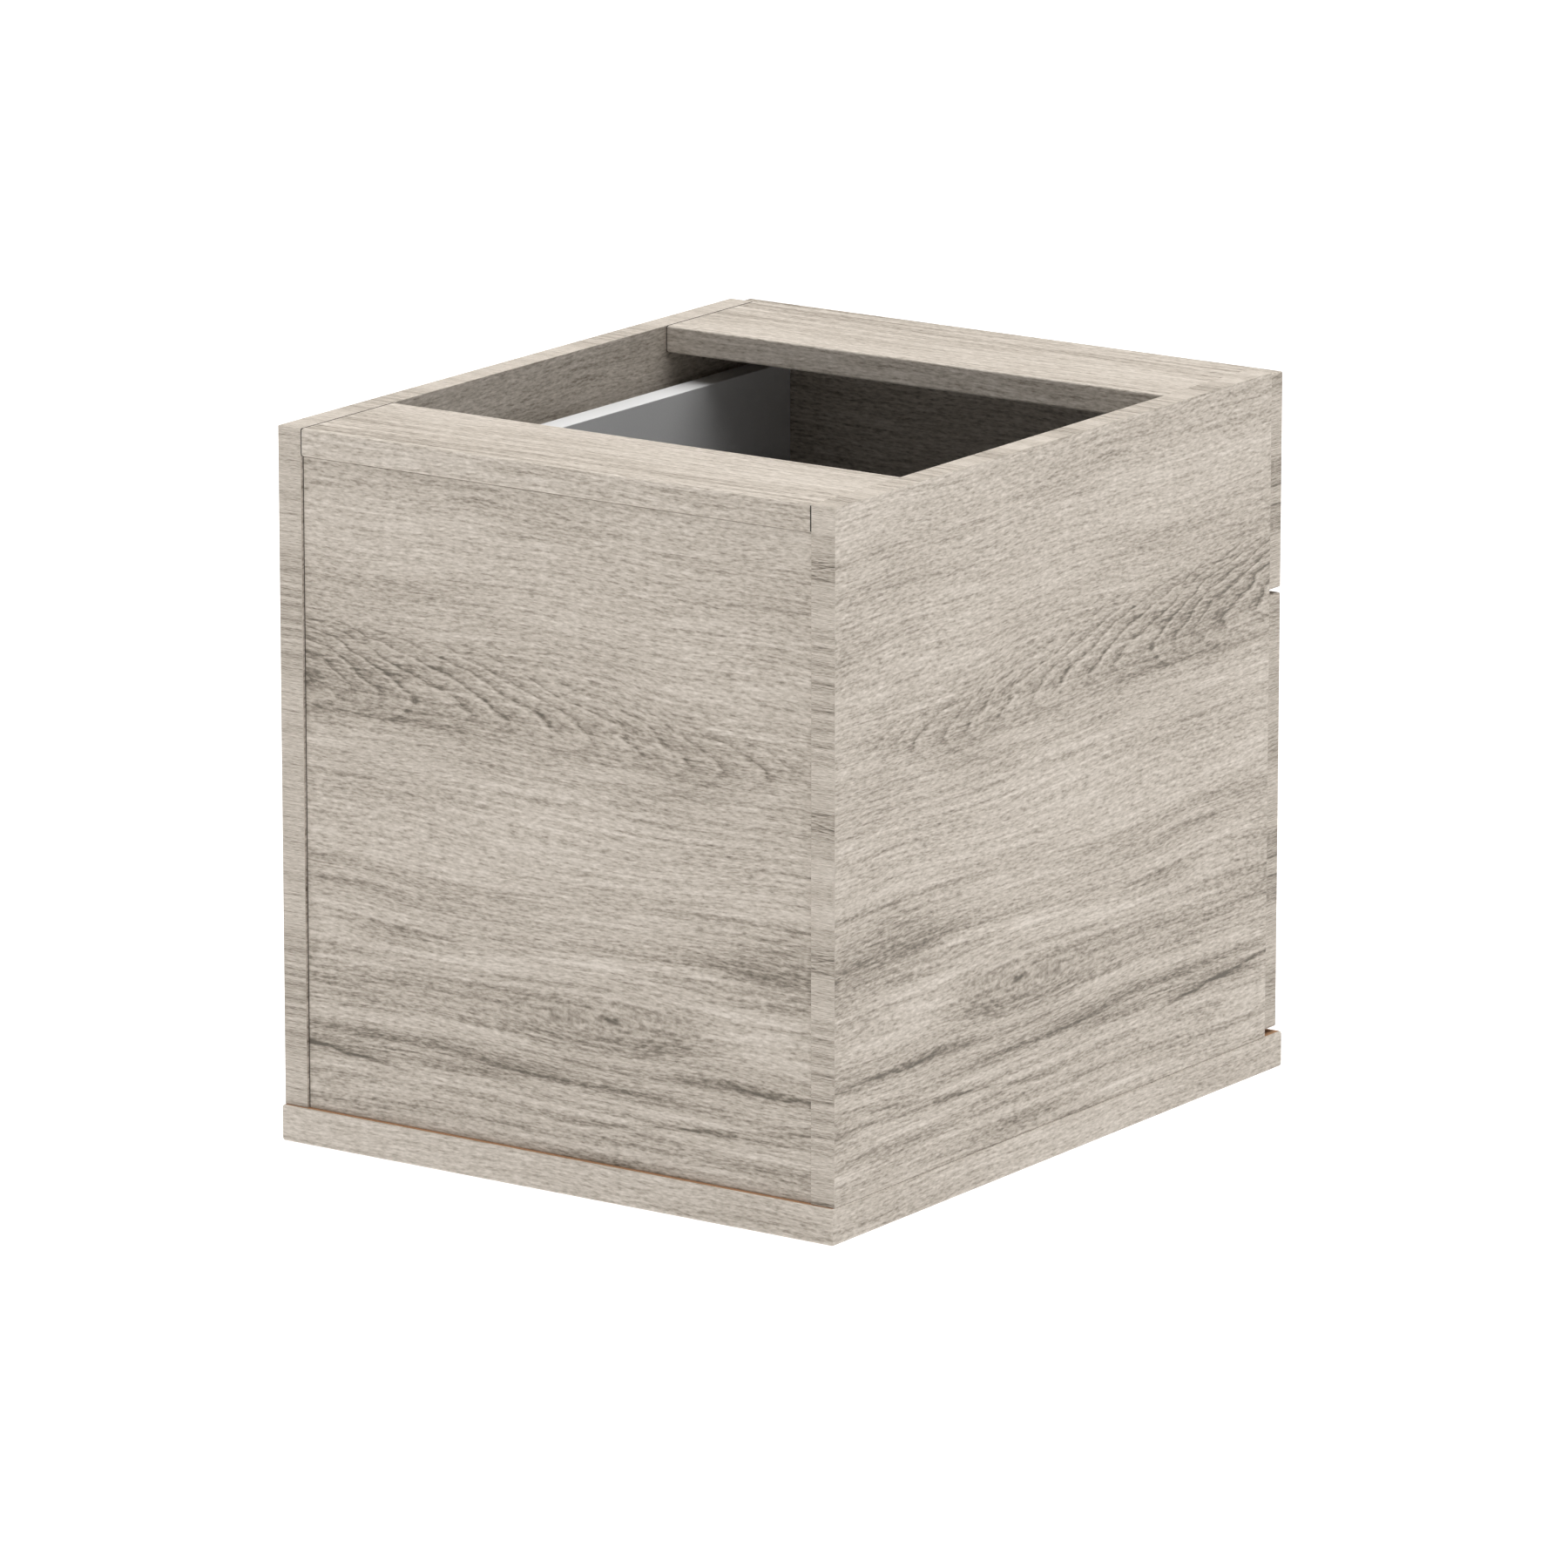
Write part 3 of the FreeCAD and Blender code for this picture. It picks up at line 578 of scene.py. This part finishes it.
def metal(name, pale, dark, roughness, brushing, blotch):
    """Bare or plated metal, brushed along the axis that brushing stretches, with cloudy plating."""
    material, tree, shader = new_material(name)
    points, facing = place_and_normal(tree)
    brushed = noise(*(point / size for point, size in zip(points, brushing)), detail=3.0, roughness=0.7)
    clouds = noise(*(point / blotch for point in points), detail=3.0, roughness=0.6)
    shade = brushed * 0.35 + clouds * 0.45 + corners(facing, *METAL_CORNERS) * 0.12
    colour = ramp(shade * 0.5 + 0.5, (0.2, dark), (0.75, pale))
    plug(tree, shader.inputs["Base Color"], colour)
    plug(tree, shader.inputs["Roughness"], roughness + brushed * 0.10 + clouds * 0.08)
    shader.inputs["Metallic"].default_value = 1.0
    bump(tree, shader, brushed, *METAL_BUMP)
    return material


def make_materials():
    """Every finish by name."""
    base_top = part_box("base_panel")[1].z * MM
    rail_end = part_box("rear_top_rail")[1].x * MM
    back_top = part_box("back_panel")[1].z * MM
    materials = {
        # the back's seam lines are painted shade beside the right side panel and under the rear rail
        "back": oak_laminate("oak_back", PLANS["back"],
                             joints=((X, 1.0, rail_end, True, 0.9), (Z, 1.0, back_top, True, 0.45))),
        "side": oak_laminate("oak_side", PLANS["side"]),
        # the rails' seam lines are painted shade in the gaps at their ends against the side panels
        "rail": oak_laminate("oak_rail", PLANS["rail"],
                             joints=((X, 1.0, rail_end, True, 1.0), (X, -1.0, rail_end, False, 1.0))),
        "front": oak_laminate("oak_front", PLANS["front"], lift=FRONT_LIFT),
        # the base's paler print is partly painted light from the floor below it
        "base": oak_laminate("oak_base", PLANS["base"], raw_top=base_top, lift=BASE_LIFT),
        "white": melamine("white_melamine", WHITE_BOARD, WHITE_BOARD_DULL),
        "grey": melamine("grey_melamine", GREY_BOARD, GREY_BOARD_DULL),
        "beech": beech("beech"),
    }
    for finish, settings in METALS.items():
        materials[finish] = metal(*settings)
    return materials


def finish_of(name):
    """Which finish a node has, by what its name says it is."""
    if name == "back_panel":
        return "back"
    if name.startswith("side_panel"):
        return "side"
    if name.endswith("top_rail"):
        return "rail"
    if name == "base_panel":
        return "base"
    if name in ("upper_front", "lower_front"):
        return "front"
    if name.endswith("_bottom"):
        return "grey"
    if "dowels" in name:
        return "beech"
    if "ball_cages" in name:
        return "cage"
    if "handle_bar" in name or "handle_posts" in name:
        return "handle"
    if "screws" in name or "cam_" in name:
        return "zinc"
    if "runner" in name:
        return "runner"
    return "white"


def dress_nodes():
    """Gives every node its finish."""
    materials = make_materials()
    for name, node in NODES.items():
        node.data.materials.clear()
        node.data.materials.append(materials[finish_of(name)])


# ------------------------------------------------------------------------------- stage and camera

def make_floor():
    """A wide pale disc just under the base."""
    mesh = bmesh.new()
    bmesh.ops.create_circle(mesh, cap_ends=True, segments=FLOOR_SEGMENTS, radius=FLOOR_RADIUS)
    data = bpy.data.meshes.new("floor")
    mesh.to_mesh(data)
    mesh.free()
    floor = bpy.data.objects.new("floor", data)
    floor.location.z = cad_box[0].z - FLOOR_DROP
    bpy.context.scene.collection.objects.link(floor)
    material, _, shader = new_material("floor")
    shader.inputs["Base Color"].default_value = FLOOR_COLOUR
    shader.inputs["Roughness"].default_value = FLOOR_ROUGHNESS
    shader.inputs["Specular IOR Level"].default_value = 0.0
    shader.inputs["Emission Color"].default_value = WHITE
    shader.inputs["Emission Strength"].default_value = FLOOR_GLOW
    data.materials.append(material)


def make_sky():
    """Soft light from overhead, dim low down, and white along the horizon."""
    world = bpy.data.worlds.new("sky")
    bpy.context.scene.world = world
    world.use_nodes = True
    tree = world.node_tree
    tree.nodes.clear()
    coordinates = tree.nodes.new("ShaderNodeTexCoord")
    direction = tree.nodes.new("ShaderNodeSeparateXYZ")
    tree.links.new(coordinates.outputs["Generated"], direction.inputs[0])
    parts = [Field(tree, socket) for socket in direction.outputs]
    towards = OVERHEAD_TOWARDS.normalized()
    across = parts[0] * towards.x + parts[1] * towards.y + parts[2] * towards.z
    overhead = across.smooth(*OVERHEAD_EDGE) * (OVERHEAD_STRENGTH - LOW_SKY_STRENGTH)
    horizon = (1.0 - parts[2].smooth(*HORIZON_EDGE)) * (HORIZON_STRENGTH - LOW_SKY_STRENGTH)
    background = tree.nodes.new("ShaderNodeBackground")
    background.inputs["Color"].default_value = WHITE
    plug(tree, background.inputs["Strength"], overhead + horizon + LOW_SKY_STRENGTH)
    output = tree.nodes.new("ShaderNodeOutputWorld")
    tree.links.new(background.outputs[0], output.inputs["Surface"])


def make_camera():
    """The camera, level, on a long lens."""
    azimuth = math.radians(CAMERA_AZIMUTH)
    elevation = math.radians(CAMERA_ELEVATION)
    back = Vector((math.sin(azimuth) * math.cos(elevation), -math.cos(azimuth) * math.cos(elevation),
                   math.sin(elevation)))
    data = bpy.data.cameras.new("camera")
    data.sensor_width = CAMERA_SENSOR
    data.lens = CAMERA_LENS
    data.clip_start, data.clip_end = CAMERA_CLIP
    camera = bpy.data.objects.new("camera", data)
    camera.location = CAMERA_AIM + back * CAMERA_DISTANCE
    camera.rotation_mode = "QUATERNION"
    camera.rotation_quaternion = (-back).to_track_quat("-Z", "Y")
    bpy.context.scene.collection.objects.link(camera)
    bpy.context.scene.camera = camera


make_camera()
make_floor()
make_sky()
dress_nodes()
bpy.context.scene.view_settings.view_transform = "Standard"
